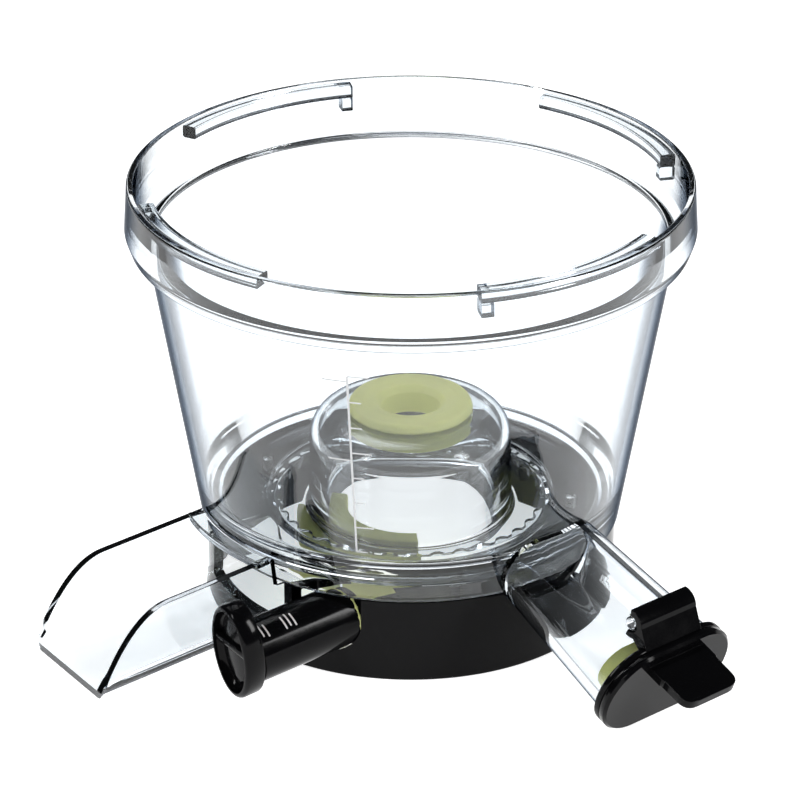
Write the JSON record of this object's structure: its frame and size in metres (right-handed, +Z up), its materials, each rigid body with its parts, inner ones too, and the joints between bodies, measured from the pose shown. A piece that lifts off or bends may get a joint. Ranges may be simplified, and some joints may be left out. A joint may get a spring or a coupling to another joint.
{
  "type": "slow juicer bowl",
  "caption": "Clear juicing bowl of an upright slow juicer with pulp chute, juice spout with press-on cap, shaft seal, pulp pressure control and black base ring.",
  "frame": {"origin": "middle of the footprint box on the standing plane; the bowl's axis stands at x=+17.9 mm, y=+23.0 mm", "axes": "+Z up along the bowl's axis, -X towards the pulp chute (turned 5 degrees from it), -Y along the juice spout"},
  "size_m": [0.1934, 0.2036, 0.125],
  "materials": {
    "clear_plastic": "clear moulded plastic, polished",
    "black_plastic": "glossy black",
    "silicone": "matt pale green silicone",
    "steel": "bright steel"
  },
  "bodies": {
    "bowl": {"bowl_collar": "clear_plastic", "bowl_wall": "clear_plastic", "bowl_floor": "clear_plastic", "drive_hub": "clear_plastic", "shaft_seal": "silicone", "pulp_chute": "clear_plastic", "outlet_packing": "silicone", "juice_spout": "clear_plastic", "base_ring": "black_plastic", "control_pin": "steel", "base_screw_1": "steel", "base_screw_2": "steel", "base_screw_3": "steel", "base_screw_4": "steel"},
    "cap": {"spout_cap": "black_plastic", "cap_plug": "silicone"},
    "control": {"control_barrel": "black_plastic", "control_cap": "black_plastic", "control_rod": "steel", "control_tip": "silicone", "control_ring_seal": "silicone"}
  },
  "joints": [
    {"name": "cap_hinge", "type": "hinge", "parent": "bowl", "child": "cap", "pos_m": [0.01788, -0.07941, 0.03315], "axis": [-1, 0, 0], "range_deg": [0, 95]},
    {"name": "control_slide", "type": "slide", "parent": "bowl", "child": "control", "axis": [0.9931, -0.0869, 0.0785], "range_m": [0, 0.009]}
  ]
}
